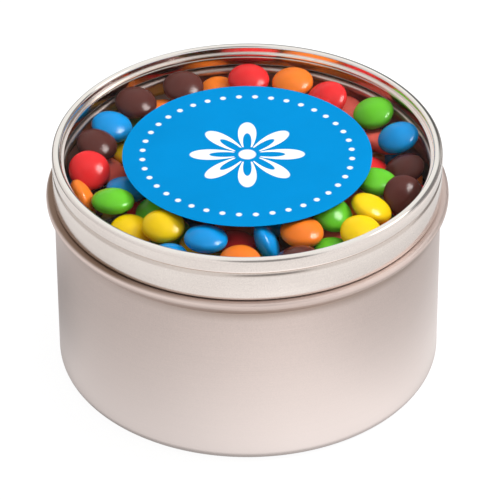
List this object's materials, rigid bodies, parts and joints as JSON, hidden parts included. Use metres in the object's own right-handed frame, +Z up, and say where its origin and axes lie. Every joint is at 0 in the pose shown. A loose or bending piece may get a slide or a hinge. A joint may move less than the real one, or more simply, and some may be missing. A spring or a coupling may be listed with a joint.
{
  "type": "window lid tin",
  "caption": "Round drawn tinplate tin with a beaded neck and a lift-off slip lid that has a clear window and a round label, filled with sugar-coated sweets.",
  "frame": {"origin": "middle of the tin's underside, on the plane it stands on", "axes": "+Z up along the tin's axis, -Y towards the front of the picture, +X to its right"},
  "size_m": [0.1222, 0.1222, 0.0745],
  "materials": {
    "tinplate": "satin",
    "clear_plastic": "gloss",
    "label_paper": "semi-gloss",
    "bed_shell": "gloss",
    "red_shell": "gloss",
    "orange_shell": "gloss",
    "yellow_shell": "gloss",
    "green_shell": "gloss",
    "blue_shell": "gloss",
    "brown_shell": "gloss",
    "salmon_shell": "gloss"
  },
  "bodies": {
    "can": {"can_body": "tinplate", "sweet_bed": "bed_shell", "red_sweets": "red_shell", "orange_sweets": "orange_shell", "yellow_sweets": "yellow_shell", "green_sweets": "green_shell", "blue_sweets": "blue_shell", "brown_sweets": "brown_shell", "salmon_sweets": "salmon_shell"},
    "lid": {"lid_frame": "tinplate", "window_retaining_ring": "tinplate", "window": "clear_plastic", "label": "label_paper"}
  },
  "joints": [
    {"name": "lid_lift", "type": "slide", "parent": "can", "child": "lid", "axis": [0, 0, 1], "range_m": [0, 0.04]}
  ]
}
